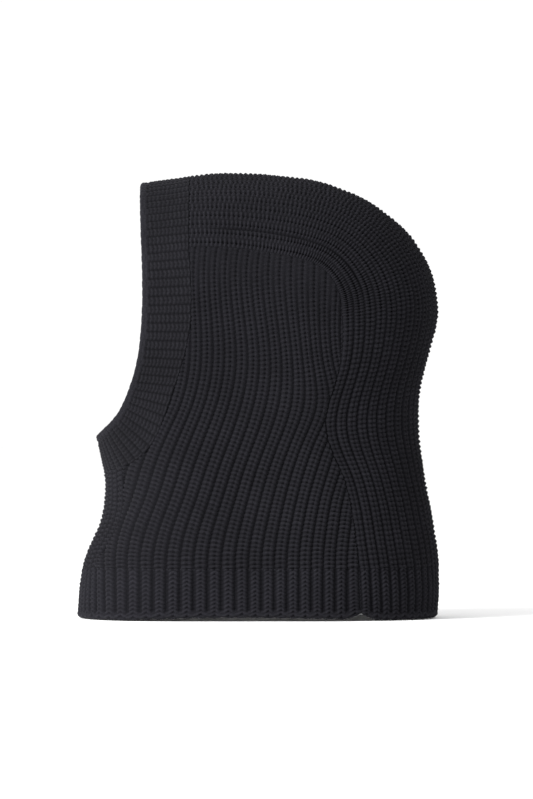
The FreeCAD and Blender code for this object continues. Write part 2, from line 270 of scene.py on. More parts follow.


# ---------------------------------------------------------------- grids of knit
# A grid holds, for each row and column: point, outward direction, rib (rib number, whole at a
# groove), course (stitch number), and edge and free (distance to the nearest sewn and free edge).
# In each row only the columns from left to right are part of the panel. It may also hold, as
# shares of the knit's own: strength of the ribs, beads (how far stitches stand out) and split (the
# line down the middle of the stitches), which all also set the knit's painted shade; and tube, the
# distance to the band's free edge.
def unit(vectors):
    """The same directions with a length of 1."""
    return vectors / np.maximum(np.linalg.norm(vectors, axis=-1, keepdims=True), 1e-9)


def outward_of(point):
    """Directions square to a grid of points, away from the inside of the hood."""
    across, along = np.gradient(point, axis=1), np.gradient(point, axis=0)
    square = unit(np.cross(across, along))
    middle = np.zeros_like(point)
    middle[..., 2] = np.minimum(HEAD_CENTRE_HEIGHT, point[..., 2])
    inside = (square * (point - middle)).sum(-1) < 0
    return np.where(inside[..., None], -square, square)


def run_lengths(point, axis):
    """Distance along each row (axis 1) or column (axis 0) of a grid at each of its points."""
    steps = np.linalg.norm(np.diff(point, axis=axis), axis=-1)
    zero = np.zeros_like(np.take(steps, [0], axis=axis))
    return np.concatenate([zero, np.cumsum(steps, axis=axis)], axis=axis)


def full_grid(point, rib, course, seams, free=()):
    """A grid whose rows all have the same columns, with the names of its sewn and free sides."""
    across, along = run_lengths(point, 1), run_lengths(point, 0)
    away = {
        "left": across, "right": across[:, -1:] - across,
        "bottom": along, "top": along[-1:] - along,
    }
    far = np.full(point.shape[:2], 1e3)
    rows = np.zeros(len(point), int)
    return {
        "point": point, "outward": outward_of(point), "rib": rib, "course": course,
        "edge": np.minimum.reduce([far] + [away[side] for side in seams]),
        "free": np.minimum.reduce([far] + [away[side] for side in free]),
        "left": rows, "right": rows + point.shape[1] - 1,
    }


def spaced(path, distances):
    """Points at the given distances along each row of a dense path."""
    lengths = run_lengths(path, 1)
    rows = []
    for line, length, wanted in zip(path, lengths, distances):
        rows.append(np.stack([np.interp(wanted, length, line[:, a]) for a in range(3)], axis=1))
    return np.array(rows)


def arches(ridge, seam, samples=240):
    """Dense arches from ridge points in the centre plane to seam points on the left side."""
    k = np.linspace(0.0, 1.0, samples)[None, :, None]
    path = over(ridge[:, None, :] + (seam - ridge)[:, None, :] * k ** 2)
    path[:, 0, 0] = 0.0
    return path


def mirrored_grid(half):
    """A grid over both sides from one that starts in the centre plane."""
    flip = np.array([-1.0, 1.0, 1.0])
    return np.concatenate([(half * flip)[:, :0:-1], half], axis=1)


def both_sides(values):
    """Rib numbers over both sides, counted from the centre plane."""
    return np.concatenate([-values[:, :0:-1], values], axis=1)


def at_height(row, heights):
    """Points at the given heights on a row of (Y, Z) points that rises or falls all the way."""
    order = np.argsort(row[:, 1])
    return np.stack([np.interp(heights, row[order, 1], row[order, 0]), heights], axis=1)


def crown_grid(per_rib, per_stitch):
    """The left half of the crown and back panel, from the forehead over the crown to the hem."""
    first, last = RIDGE_LENGTHS[1] + SEAM_MARGIN, RIDGE_LENGTHS[-2] - SEAM_MARGIN
    stitches = round((last - first) / (1.1 * STITCH_LENGTH))
    t = np.linspace(first, last, stitches * per_stitch + 1)
    path = arches(RIDGE_CURVE(t), CROWN_SEAM_CURVE(t), samples=120)
    columns = np.linspace(0.0, 1.0, CROWN_RIBS * per_rib + 1)
    reach = run_lengths(path, 1)[:, -1] - SEAM_MARGIN
    point = spaced(path, reach[:, None] * columns)
    rib = np.broadcast_to(columns * CROWN_RIBS, point.shape[:2])
    course = np.broadcast_to(np.arange(len(t))[:, None] / per_stitch, point.shape[:2])
    grid = full_grid(point, rib, course, ("right", "bottom"))
    high = rise(point[..., 2], CROWN_FLAT)
    beside_seam = rise(point[..., 1], SEAM_RIB_BEHIND) * rise(point[..., 2], SEAM_RIB_OVER)
    deeper = beside_seam * np.exp(-((rib - SEAM_RIB) / SEAM_RIB_REACH) ** 2)
    grid["strength"] = (1.0 - 0.4 * high) * (1.0 + SEAM_RIB_EXTRA * deeper)
    grid["split"] = 1.0 + 0.6 * high
    grid["beads"] = 0.8 + 0.05 * high
    grid["outward"][:, 0, 0] = 0.0
    grid["outward"] = unit(grid["outward"])
    return grid


def neck_grid(per_rib, per_stitch):
    """The front neck panel, from the hem up to the chin."""
    top = FRONT[THROAT_TOP][1] - SEAM_MARGIN
    height = top - HEM_HEIGHT - SEAM_MARGIN
    stitches = round(height / STITCH_LENGTH)
    z = np.linspace(HEM_HEIGHT + SEAM_MARGIN, top, stitches * per_stitch + 1)
    seam = NECK_SEAM_CURVE((z - HEM_HEIGHT) / (FRONT[THROAT_TOP][1] - HEM_HEIGHT)
                           * NECK_SEAM_CURVE.knots[-1])
    path = arches(at_height(FRONT_ROW, z), seam)
    columns = np.linspace(0.0, 1.0, NECK_RIBS * per_rib + 1)
    reach = run_lengths(path, 1)[:, -1] - SEAM_MARGIN
    point = mirrored_grid(spaced(path, reach[:, None] * columns))
    rib = both_sides(np.broadcast_to(columns * NECK_RIBS, (len(z), len(columns))))
    course = np.broadcast_to(np.arange(len(z))[:, None] / per_stitch, rib.shape)
    return full_grid(point, rib, course, ("left", "right", "top"))


def hem_grid(ridge_row, distances, ribs, per_rib, per_stitch):
    """Half the hem turned into the whole front or back of it, with its uneven cast-on edge."""
    stitches = round(HEM_HEIGHT / STITCH_LENGTH)
    z = np.linspace(0.0, HEM_HEIGHT - SEAM_MARGIN, stitches * per_stitch + 1)
    (y0, z0), (y1, z1) = HEM_SIDE_SEAM
    seam = np.stack([y0 + (y1 - y0) * (z - z0) / (z1 - z0), z], axis=1)
    path = arches(at_height(ridge_row, z), seam, samples=500)
    numbers = np.linspace(0.0, ribs, ribs * per_rib + 1)
    half = spaced(path, distances(path, numbers))
    point = mirrored_grid(half)
    rib = both_sides(np.broadcast_to(numbers, half.shape[:2]))
    course = np.broadcast_to(np.arange(len(z))[:, None] / per_stitch, rib.shape)
    grid = full_grid(point, rib, course, ("left", "right"), ("bottom",))
    lengths = run_lengths(point, 1)
    from_corner = np.minimum(lengths, lengths[:, ::-1])
    notch = CORNER_NOTCH_HEIGHT * np.exp(-(from_corner / CORNER_NOTCH_WIDTH) ** 2)
    scallop = SCALLOP_HEIGHT * (1.0 - np.abs(np.sin(math.pi * rib)))
    along = np.clip((point[..., 1] - LIFT_FROM) / (LIFT_TO - LIFT_FROM), 0.0, 1.0)
    lift = LIFT_HEIGHT * np.sin(math.pi * along) ** 0.7
    share = (1.0 - z / HEM_HEIGHT)[:, None]
    above_cast_on = rise(z, (CAST_ON_HEIGHT, CAST_ON_HEIGHT))[:, None]
    grid["strength"] = CAST_ON_GROOVES + (1.0 - CAST_ON_GROOVES) * above_cast_on
    point[..., 2] += (notch + scallop) * share ** 3 + lift * share
    return grid


def hem_front_grid(per_rib, per_stitch):
    """The front of the hem: its ribs carry on from the side panels and the front neck panel."""
    side_ribs = np.arange(NECK_RIBS, HEM_FRONT_RIBS + 1)
    rib_y = side_rib_y(np.array([HEM_HEIGHT]), side_ribs - NECK_RIBS + FIRST_SIDE_RIB)[0]

    def distances(path, rib):
        lengths = run_lengths(path, 1)
        rows = []
        for line, length in zip(path, lengths):
            y = rib_y.copy()
            y[0], y[-1] = NECK_SEAM[0][0], line[-1, 1]
            knots = np.interp(y, line[:, 1], length)
            knots[-1] = length[-1] - SEAM_MARGIN
            knots = np.concatenate([[0.0], knots])
            rows.append(np.interp(rib, np.concatenate([[0], side_ribs]), knots))
        return np.array(rows)

    return hem_grid(FRONT_ROW, distances, HEM_FRONT_RIBS, per_rib, per_stitch)


def hem_back_grid(per_rib, per_stitch):
    """The back of the hem, with the ribs of the crown and back panel."""
    def distances(path, rib):
        reach = run_lengths(path, 1)[:, -1] - SEAM_MARGIN
        return reach[:, None] * rib / HEM_BACK_RIBS

    return hem_grid(NAPE_ROW, distances, HEM_BACK_RIBS, per_rib, per_stitch)


def side_rib_y(z, rib):
    """Y of ribs of the side panel at heights z: one row for each height."""
    numbers = sorted(RIB_GUIDES)
    table = np.array([RIB_GUIDES[n] for n in numbers], float).T[::-1]
    at_heights = SmoothCurve(table, RIB_HEIGHTS[::-1])(z)
    shares = SmoothCurve(np.eye(len(numbers)), numbers)(rib)
    return at_heights @ shares.T


def side_borders(z, seam):
    """Y of the side panel's front and back borders at heights z."""
    band = moved_right(BAND_SEAM_CURVE.row(1500), -SEAM_MARGIN)
    neck = moved_right(NECK_SEAM_CURVE.row(500), SEAM_MARGIN)
    back_y = np.interp(z, seam[::-1, 1], seam[::-1, 0])
    neck_y = np.interp(z, neck[:, 1], neck[:, 0])
    band_y = np.interp(z, band[::-1, 1], band[::-1, 0])
    return np.where(z < NECK_SEAM[-1][1], neck_y, band_y), back_y


def side_courses(z, y, rib, inside):
    """Stitch number at each point of the side panel, counted up the middle of its rib."""
    whole = np.floor(rib + 1e-6)
    course = np.zeros(y.shape)
    for number in np.unique(whole[inside]):
        centre = side_rib_y(z, np.array([number + 0.5]))[:, 0]
        length = run_lengths(over(np.stack([centre, z], axis=1))[None], 1)[0]
        phase = length[:, None] + np.gradient(centre, z)[:, None] * (y - centre[:, None])
        course = np.where(whole == number, phase / STITCH_LENGTH, course)
    return course


def side_grid(per_rib, row_step):
    """The left side panel. Its columns are ribs, its rows are level, and its outline cuts both."""
    seam = moved_right(CROWN_SEAM_CURVE.row(1500), SEAM_MARGIN)
    low, high = HEM_HEIGHT + SEAM_MARGIN, CROWN_SEAM[0][1] - 1.2
    rows = 6 * round((high - low) / (6 * row_step))
    z = np.linspace(low, high, rows + 1)
    front_y, back_y = side_borders(z, seam)

    # The columns on either side of a border are moved to it.
    numbers = np.arange(-14 * per_rib, 11 * per_rib + 1) / per_rib
    y = side_rib_y(z, numbers)
    columns = len(numbers)
    left = np.maximum((y <= front_y[:, None]).sum(1) - 1, 0)
    right = np.minimum(columns - (y >= back_y[:, None]).sum(1), columns - 1)
    right = np.maximum(right, left + 1)
    rib = np.broadcast_to(numbers, y.shape).copy()
    every = np.arange(rows + 1)
    for at, border_y in ((left, front_y), (right, back_y)):
        for j in every:
            rib[j, at[j]] = np.interp(border_y[j], side_rib_y(z[j:j + 1], numbers)[0], numbers)
        y[every, at] = border_y

    # The top rows are raised in the middle to follow the crown seam.
    upper = seam[seam[:, 1] > CROWN_SEAM[4][1]]
    top_z = np.interp(y, upper[:, 0], upper[:, 1], right=1e3)
    raised = rise(z, (high - 15.0, 15.0))[:, None]
    height = z[:, None] + np.where(y < 0.0, np.maximum(top_z - high, 0.0), 0.0) * raised
    inside = (np.arange(columns) >= left[:, None]) & (np.arange(columns) <= right[:, None])
    kept = np.stack([y, height], axis=-1)[inside]

    # Its surface dips towards the seam, and its outward directions come from the hood's form.
    point = np.zeros(y.shape + (3,))
    outward = np.zeros_like(point)
    step = 0.8
    slope_y = half_width(kept + [step, 0.0]) - half_width(kept - [step, 0.0])
    slope_z = half_width(kept + [0.0, step]) - half_width(kept - [0.0, step])
    point[inside] = over(kept)
    from_seam = distance_to(seam[seam[:, 1] > SIDE_DIP_OVER][::12], kept)
    point[inside, 0] -= SIDE_DIP * (1.0 - smooth_step(from_seam / SIDE_DIP_REACH))
    outward[inside] = unit(np.stack([np.full(len(kept), 2.0 * step), -slope_y, -slope_z], axis=1))

    under_seam = np.maximum(top_z - height, 0.0)
    edge = np.minimum(np.minimum(y - front_y[:, None], back_y[:, None] - y), under_seam)
    flatter = rise(z, SIDE_FLAT)[:, None]
    relieved = smooth_step(under_seam / SIDE_TOP_FLAT)
    # Higher up and under the crown seam the knit is flatter and painted darker: painted shade.
    return {
        "strength": (1.0 - 0.3 * flatter) * (0.4 + 0.6 * relieved),
        "beads": (0.9 - 0.3 * flatter) * (0.6 + 0.4 * relieved),
        "point": point, "outward": outward, "rib": rib,
        "course": side_courses(z, y, rib, inside), "edge": np.maximum(edge, 0.0),
        "free": np.full(y.shape, 1e3), "left": left, "right": right,
    }


def band_grid(per_rib, per_stitch):
    """The face band all round the face: rows run along it, from its free edge to its seam."""
    sigma = 0.5 - 0.5 * np.cos(np.linspace(0.0, math.pi, 900))
    knots = BAND_EDGE_CURVE.knots[-1]
    stitches = 12
    shares = np.linspace(0.0, 1.0, stitches * per_stitch + 1)
    sides = []
    for curve in (BAND_EDGE_CURVE, BAND_SEAM_CURVE):
        flat = curve(sigma * knots)
        if curve is BAND_SEAM_CURVE:
            flat[:, 0] = np.where(flat[:, 1] > CROWN_SEAM[0][1], CROWN_SEAM[0][0], flat[:, 0])
        line = over(flat)
        line[0, 0] = 0.0
        line[-1, 0] = 0.0
        line[:, 0] += SEAM_MARGIN * sigma ** 8
        sides.append(line)
    edge, seam = sides
    length = run_lengths((0.5 * (edge + seam))[None], 1)[0]
    ribs = round(length[-1] / BAND_RIB_PITCH)
    wanted = np.linspace(0.0, length[-1], ribs * per_rib + 1)
    place = [np.stack([np.interp(wanted, length, side[:, a]) for a in range(3)], 1)
             for side in sides]
    depth = np.linalg.norm(place[1] - place[0], axis=1)
    reach = 1.0 - SEAM_MARGIN / depth
    share = shares[:, None] * reach[None, :]
    half = place[0][None] * (1.0 - share[..., None]) + place[1][None] * share[..., None]
    point = mirrored_grid(half)
    rib = both_sides(np.broadcast_to(np.linspace(0.0, ribs, ribs * per_rib + 1), half.shape[:2]))
    course = np.broadcast_to((shares * stitches)[:, None], rib.shape)
    grid = full_grid(point, rib, course, ("left", "right", "top"), ("bottom",))
    grid["tube"] = run_lengths(point, 0)
    return grid


# ---------------------------------------------------------------- relief
def rolled(distance, roll):
    """How far an edge rolls inwards at a distance from it."""
    depth, width = roll
    near = np.clip(1.0 - distance / width, 0.0, 1.0)
    return depth * (1.0 - np.sqrt(1.0 - near ** 2))


STITCH_SIZES = np.random.default_rng(7).normal(0.0, 1.0, (96, 512))


def unevenness(number, turn):
    """A number for each stitch, the same all over it, that makes it a little unlike the others."""
    rib = np.floor(number + 1e-6).astype(int) % STITCH_SIZES.shape[0]
    stitch = np.floor(turn).astype(int) % STITCH_SIZES.shape[1]
    return np.clip(STITCH_SIZES[rib, stitch], -2.0, 2.0)


def undulation(point):
    """The soft dents and swellings of loose cloth, in mm."""
    x, y, z = point[..., 0], point[..., 1], point[..., 2]
    wide = np.sin(y / 19.0 + z / 27.0 + x / 40.0 + 0.6) * np.sin(z / 33.0 - y / 45.0 + 1.1)
    narrow = np.sin(y / 9.0 - z / 14.0 + x / 21.0) * np.sin(z / 11.0 + y / 25.0 + 2.0)
    return 0.5 * wide + 0.2 * narrow


def relief(grid, knit, inner):
    """Height of the knit over its base surface, in mm, and its painted shade: 1 on crests, 0 in
    grooves.
    """
    number = grid["rib"] + (0.5 if inner else 0.0)
    across = number - np.floor(number + 1e-6)
    arch = np.clip((np.sin(math.pi * across) - knit["groove"]) / (1.0 - knit["groove"]), 0.0, 1.0)
    arch = arch ** RIB_SECTION
    arm = np.clip(np.abs(across - 0.5), 0.0, 0.5)
    wander = DRIFT * np.sin(0.31 * grid["course"] + 2.1 * np.floor(number + 1e-6))
    turn = grid["course"] + wander - knit["slant"] * (1.0 - 2.0 * arm) ** ARM_BEND
    odd = unevenness(number, turn)
    beads = grid.get("beads", 1.0)
    stitch = np.abs(np.sin(math.pi * turn)) ** STITCH_SECTION
    split = np.exp(-(arm / SPLIT_WIDTH) ** 2) * (1.5 - 0.7 * beads * stitch)
    split = split * grid.get("split", 1.0)
    rib_height = knit["rib"] * grid.get("strength", 1.0)
    stitch_height = knit["stitch"] * beads
    if "tube" in grid:
        on_tube = 1.0 - smooth_step((grid["tube"] - TUBE_WIDTH + 1.0) / 2.0)
        rib_height = rib_height * (1.0 - 0.4 * on_tube)
        stitch_height = stitch_height * (1.0 - 0.3 * on_tube)
    height = rib_height * (arch - 1.0) - knit["split"] * split
    height = height + stitch_height * (stitch - 1.0) * (0.25 + 0.75 * arch)
    height = height + 0.09 * stitch_height * odd * stitch * arch + undulation(grid["point"])

    # Painted shade: darker in grooves, along the middle of stitches and between them, and darker
    # where stitches stand out less; a little uneven.
    shade = (1.0 - 0.8 * (1.0 - arch) * grid.get("strength", 1.0)) * (1.0 - 0.3 * split * beads)
    shade = shade * (1.0 - 0.8 * beads * (1.0 - stitch)) * (0.92 + 0.07 * odd * stitch)
    shade = shade * beads ** 0.8
    if "tube" in grid:
        height = height - 0.7 * np.exp(-((grid["tube"] - TUBE_WIDTH) / 1.0) ** 2)
        # A painted highlight along the rounded tube.
        shade = np.maximum(shade, 0.95 * on_tube)
    height = height - rolled(grid["edge"], SEAM_ROLL) - rolled(grid["free"], FREE_ROLL)
    return height, np.clip(shade, 0.0, 1.0)


def faced(grid, knit, inner):
    """The points of one face of the knit, and their painted shade. The inside is painted lighter.
    """
    height, shade = relief(grid, knit, inner)
    shade = CREST_SHADE * shade
    if inner:
        offset = -KNIT_THICKNESS - 0.6 * (height + 0.5)
        # The inside gets painted light.
        shade = shade + 1.0 - CREST_SHADE
    else:
        offset = knit["proud"] + height
    return grid["point"] + grid["outward"] * offset[..., None], shade


# ---------------------------------------------------------------- meshes
def mesh_piece(name, points, faces, baked_uv, material, stitch_uv=None, shade=None):
    """A piece of the model from points in millimetres and lists of faces of one size each."""
    mesh = bpy.data.meshes.new(name)
    sizes = np.concatenate([np.full(len(f), f.shape[1]) for f in faces])
    corners = np.concatenate([f.reshape(-1) for f in faces])
    mesh.vertices.add(len(points))
    mesh.vertices.foreach_set("co", (points * METRES_PER_MM).astype(np.float32).reshape(-1))
    mesh.loops.add(len(corners))
    mesh.loops.foreach_set("vertex_index", corners.astype(np.int32))
    mesh.polygons.add(len(sizes))
    starts = np.concatenate([[0], np.cumsum(sizes)[:-1]])
    mesh.polygons.foreach_set("loop_start", starts.astype(np.int32))
    mesh.update(calc_edges=True)
    for layer_name, uv in (("OFBake", baked_uv), ("Knit", stitch_uv)):
        if uv is not None:
            layer = mesh.uv_layers.new(name=layer_name)
            layer.data.foreach_set("uv", uv[corners].astype(np.float32).reshape(-1))
    if shade is not None:
        shades = mesh.attributes.new("Shade", "FLOAT", "POINT")
        shades.data.foreach_set("value", shade.astype(np.float32))
    mesh.polygons.foreach_set("use_smooth", np.ones(len(sizes), bool))
    mesh.validate()
    mesh.materials.append(material)
    piece = bpy.data.objects.new(name, mesh)
    bpy.context.scene.collection.objects.link(piece)
    return piece


def grid_faces(left, right, first_index, columns):
    """Quads and border triangles of a grid whose rows run from left to right."""
    rows = len(left)
    at = np.clip(np.arange(columns)[None], left[:, None], right[:, None])
    index = first_index + np.arange(rows)[:, None] * columns + at
    corners = np.stack([index[:-1, :-1], index[:-1, 1:], index[1:, 1:], index[1:, :-1]], axis=-1)
    corners = corners.reshape(-1, 4)
    same = corners == np.roll(corners, -1, axis=1)
    quads = corners[~same.any(1)]
    triangles = []
    for side in range(4):
        rows_with = corners[(same.sum(1) == 1) & same[:, side]]
        triangles.append(np.delete(rows_with, side, axis=1))
    return quads, np.concatenate(triangles)


def border(left, right, first_index, columns):
    """The four sides of a grid as rows of point numbers, in the order that goes round it."""
    rows = np.arange(len(left))
    bottom = first_index + np.arange(left[0], right[0] + 1)
    east = first_index + rows * columns + right
    top = first_index + (len(left) - 1) * columns + np.arange(right[-1], left[-1] - 1, -1)
    west = (first_index + rows * columns + left)[::-1]
    return bottom, east, top, west


def zipped(points, outer, inner):
    """Triangles between two rows of points that run side by side."""
    outer_at = chord_lengths(points[outer])
    inner_at = chord_lengths(points[inner])
    outer_at = outer_at / max(outer_at[-1], 1e-9)
    inner_at = inner_at / max(inner_at[-1], 1e-9)
    triangles = []
    i = j = 0
    while i < len(outer) - 1 or j < len(inner) - 1:
        step_inner = i == len(outer) - 1
        if not step_inner and j < len(inner) - 1:
            step_inner = inner_at[j + 1] < outer_at[i + 1]
        if step_inner:
            triangles.append((outer[i], inner[j], inner[j + 1]))
            j += 1
        else:
            triangles.append((outer[i + 1], outer[i], inner[j]))
            i += 1
    return np.array(triangles)


def knit_uv(grid, inner):
    """Stitch coordinates: across in ribs and along in courses."""
    return np.stack([grid["rib"], grid["course"] + (0.5 if inner else 0.0)], axis=-1)


def bake_uv(grid, low, high):
    """A place for each point of a grid between two levels of the unit square."""
    rows, columns = grid["rib"].shape
    u = np.broadcast_to(np.linspace(0.01, 0.99, columns)[None], (rows, columns))
    v = np.broadcast_to(np.linspace(low, high, rows)[:, None], (rows, columns))
    return np.stack([u, v], axis=-1)


def knitted(name, outer, inner, knit, material):
    """A closed piece of knit between a fine outer grid and a coarser inner one."""
    faces_of = (faced(outer, knit, False), faced(inner, knit, True))
    columns = [grid["rib"].shape[1] for grid in (outer, inner)]
    second = outer["rib"].size
    points = np.concatenate([face.reshape(-1, 3) for face, _ in faces_of])
    shades = np.concatenate([shade.reshape(-1) for _, shade in faces_of])
    uv = np.concatenate([bake_uv(outer, 0.01, 0.66).reshape(-1, 2),
                         bake_uv(inner, 0.69, 0.99).reshape(-1, 2)])
    stitch_uv = np.concatenate([knit_uv(outer, False).reshape(-1, 2),
                                knit_uv(inner, True).reshape(-1, 2)])
    quads, triangles = grid_faces(outer["left"], outer["right"], 0, columns[0])
    inner_quads, inner_triangles = grid_faces(inner["left"], inner["right"], second, columns[1])
    rims = [zipped(points, a, b) for a, b in zip(
        border(outer["left"], outer["right"], 0, columns[0]),
        border(inner["left"], inner["right"], second, columns[1]))]
    four = np.concatenate([quads, inner_quads[:, ::-1]])
    three = np.concatenate([triangles, inner_triangles[:, ::-1]] + rims)
    outside = (np.cross(points[quads[:, 1]] - points[quads[:, 0]],
                        points[quads[:, 3]] - points[quads[:, 0]])
               * outer["outward"].reshape(-1, 3)[quads[:, 0]]).sum()
    if outside < 0:
        four, three = four[:, ::-1], three[:, ::-1]
    used = np.unique(np.concatenate([four.reshape(-1), three.reshape(-1)]))
    renumbered = np.zeros(len(points), int)
    renumbered[used] = np.arange(len(used))
    return mesh_piece(name, points[used], [renumbered[four], renumbered[three]],
                      uv[used], material, stitch_uv[used], shades[used])


def mirrored_piece(piece, name):
    """The same piece on the wearer's right."""
    mesh = piece.data.copy()
    mesh.name = name
    places = np.empty(len(mesh.vertices) * 3, np.float32)
    mesh.vertices.foreach_get("co", places)
    places[::3] *= -1.0
    mesh.vertices.foreach_set("co", places)
    mesh.flip_normals()
    mesh.update()
    other = bpy.data.objects.new(name, mesh)
    bpy.context.scene.collection.objects.link(other)
    return other


def tube(path, outward, radius):
    """Points and faces of a closed tube along a path."""
    sides = TUBE_SIDES
    run = unit(np.gradient(path, axis=0))
    up = unit(outward - (outward * run).sum(1, keepdims=True) * run)
    side = np.cross(run, up)
    angle = np.arange(sides) * 2.0 * math.pi / sides
    ring = up[:, None] * np.cos(angle)[:, None] + side[:, None] * np.sin(angle)[:, None]
    radii = np.full(len(path), radius)
    radii[0] = radii[-1] = 0.5 * radius
    points = (path[:, None] + ring * radii[:, None, None]).reshape(-1, 3)
    start = np.arange(len(path) - 1)[:, None] * sides
    here, after = np.arange(sides), (np.arange(sides) + 1) % sides
    quads = np.stack([start + here, start + after, start + sides + after, start + sides + here], -1)
    ends = [np.arange(sides)[::-1], (len(path) - 1) * sides + np.arange(sides)]
    return points, quads.reshape(-1, 4), np.array(ends)


def joined_tubes(name, tubes, material):
    """Several tubes as one piece."""
    points, quads, ends = [], [], []
    count = 0
    for tube_points, tube_quads, tube_ends in tubes:
        points.append(tube_points)
        quads.append(tube_quads + count)
        ends.append(tube_ends + count)
        count += len(tube_points)
    points = np.concatenate(points)
    across = (np.arange(len(points)) % TUBE_SIDES) / TUBE_SIDES
    along = np.arange(len(points)) / len(points)
    uv = np.stack([0.02 + 0.96 * across, 0.02 + 0.96 * along], axis=1)
    faces = [np.concatenate(quads), np.concatenate(ends)]
    # The tubes carry the painted shade of a stitch's crest.
    return mesh_piece(name, points, faces, uv, material, shade=np.full(len(points), CREST_SHADE))


def even_path(path, outward, step):
    """A path and its outward directions at even steps."""
    length = chord_lengths(path)
    wanted = np.linspace(0.0, length[-1], max(3, round(length[-1] / step)))
    place = np.stack([np.interp(wanted, length, path[:, a]) for a in range(3)], axis=1)
    away = np.stack([np.interp(wanted, length, outward[:, a]) for a in range(3)], axis=1)
    return place, unit(away), wanted


def linking_yarn(name, path, outward, material):
    """A two-ply yarn that lies along a seam, sunk below the knit's base surface."""
    place, away, length = even_path(path - outward * YARN_DEPTH, outward, 0.8)
    run = unit(np.gradient(place, axis=0))
    side = np.cross(run, away)
    turn = 2.0 * math.pi * length / YARN_PITCH
    plies = []
    for start in (0.0, math.pi):
        offset = away * np.cos(turn + start)[:, None] + side * np.sin(turn + start)[:, None]
        plies.append(tube(place + YARN_TWIST * offset, away, YARN_RADIUS))
    return joined_tubes(name, plies, material)


# ---------------------------------------------------------------- materials
def feed(tree, socket, value):
    """Sets a socket to a number or a colour, or joins it to the socket that gives its value."""
    if isinstance(value, bpy.types.NodeSocket):
        tree.links.new(value, socket)
    else:
        socket.default_value = value


def node(tree, kind, inputs=None, **settings):
    """A new shader node with the given settings and inputs."""
    made = tree.nodes.new(kind)
    for key, value in settings.items():
        setattr(made, key, value)
    for name, value in (inputs or {}).items():
        feed(tree, made.inputs[name], value)
    return made


def ramp(tree, factor, *stops):
    """The colours of a ramp through (position, colour) stops."""
    made = node(tree, "ShaderNodeValToRGB", {"Fac": factor})
    for element, (position, colour) in zip(made.color_ramp.elements, (stops[0], stops[-1])):
        element.position, element.color = position, colour
    for position, colour in stops[1:-1]:
        made.color_ramp.elements.new(position).color = colour
    return made.outputs["Color"]


def multiplied(tree, a, b):
    """The product of two colours."""
    made = node(tree, "ShaderNodeMix", {"Factor": 1.0, "A": a, "B": b},
                data_type="RGBA", blend_type="MULTIPLY")
    return made.outputs["Result"]


def bump(tree, height, strength, distance, **under):
    """Directions that a height turns, over those of another bump if one is given."""
    inputs = {"Height": height, "Strength": strength, "Distance": distance, **under}
    return node(tree, "ShaderNodeBump", inputs).outputs["Normal"]


def times(colour, share):
    return tuple(share * c for c in colour) + (1.0,)


def grey(level):
    return level, level, level, 1.0


def wool(name, colour, ply_strength=0.5):
    """Dark wool: a little lighter and darker from fibre to fibre, with plies across each stitch,
    and painted shade from the knit's Shade attribute.
    """
    material = bpy.data.materials.new(name)
    material.use_nodes = True
    tree = material.node_tree
    place = node(tree, "ShaderNodeTexCoord").outputs["Object"]
    fibres = node(tree, "ShaderNodeTexNoise",
                  {"Vector": place, "Scale": 1300.0, "Detail": 4.0, "Roughness": 0.7})
    clouds = node(tree, "ShaderNodeTexNoise", {"Vector": place, "Scale": 28.0, "Detail": 2.0})
    shades = ramp(tree, fibres.outputs["Fac"],
                  (0.30, times(colour, 0.62)), (0.72, times(colour, 1.45)))
    drift = ramp(tree, clouds.outputs["Fac"], (0.30, grey(0.88)), (0.70, grey(1.1)))
    # Painted shade from the Shade attribute: darker in grooves, lighter on the inside.
    shade = node(tree, "ShaderNodeAttribute", attribute_name="Shade")
    painted_shade_ramp = ramp(tree, shade.outputs["Fac"], (0.0, (0.25, 0.25, 0.27, 1.0)),
                  (CREST_SHADE, grey(1.2)), (1.0, grey(4.0)))
    stitch = node(tree, "ShaderNodeUVMap", uv_map="Knit")
    plies = node(tree, "ShaderNodeTexWave",
                 {"Vector": stitch.outputs["UV"], "Scale": 0.942, "Distortion": 1.2,
                  "Detail": 1.0, "Detail Scale": 3.0},
                 wave_type="BANDS", bands_direction="Y")
    ply_bump = bump(tree, plies.outputs["Color"], ply_strength, 0.0003)
    values = {
        "Base Color": multiplied(tree, multiplied(tree, shades, drift), painted_shade_ramp),
        "Normal": bump(tree, fibres.outputs["Fac"], 0.6, 0.0003, Normal=ply_bump),
        "Roughness": 0.9, "Specular IOR Level": 0.06,
        "Sheen Weight": 0.03, "Sheen Roughness": 0.45, "Sheen Tint": (0.75, 0.75, 0.85, 1.0),
    }
    for socket, value in values.items():
        feed(tree, tree.nodes["Principled BSDF"].inputs[socket], value)
    return material


def woven(name, colour, threads_per_metre):
    """Satin label tape or sewing thread, with a fine weave."""
    material = bpy.data.materials.new(name)
    material.use_nodes = True
    tree = material.node_tree
    place = node(tree, "ShaderNodeTexCoord").outputs["Object"]
    weave = node(tree, "ShaderNodeTexWave",
                 {"Vector": place, "Scale": threads_per_metre, "Distortion": 0.8},
                 wave_type="BANDS", bands_direction="DIAGONAL").outputs["Color"]
    values = {
        "Base Color": ramp(tree, weave, (0.0, times(colour, 0.7)), (1.0, times(colour, 1.3))),
        "Normal": bump(tree, weave, 0.3, 0.0001),
        "Roughness": 0.5, "Specular IOR Level": 0.35,
    }
    for socket, value in values.items():
        feed(tree, tree.nodes["Principled BSDF"].inputs[socket], value)
    return material


# ---------------------------------------------------------------- the hood
def surface_area(grid):
    """Area of a grid's base surface in square metres."""
    point = grid["point"]
    inside = np.arange(point.shape[1]) >= grid["left"][:, None]
    inside &= np.arange(point.shape[1]) < grid["right"][:, None]
    across = point[1:, 1:] - point[:-1, :-1]
    along = point[1:, :-1] - point[:-1, 1:]
    area = 0.5 * np.linalg.norm(np.cross(across, along), axis=-1)
    return area[inside[:-1, :-1] & inside[1:, :-1]].sum() * METRES_PER_MM ** 2


def finish_piece(piece, body, slot, *nodes):
    """Ties a piece to its body and hides the CAD nodes that it stands for. Its slot is not used."""
    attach(piece, body)
    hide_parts(*nodes)


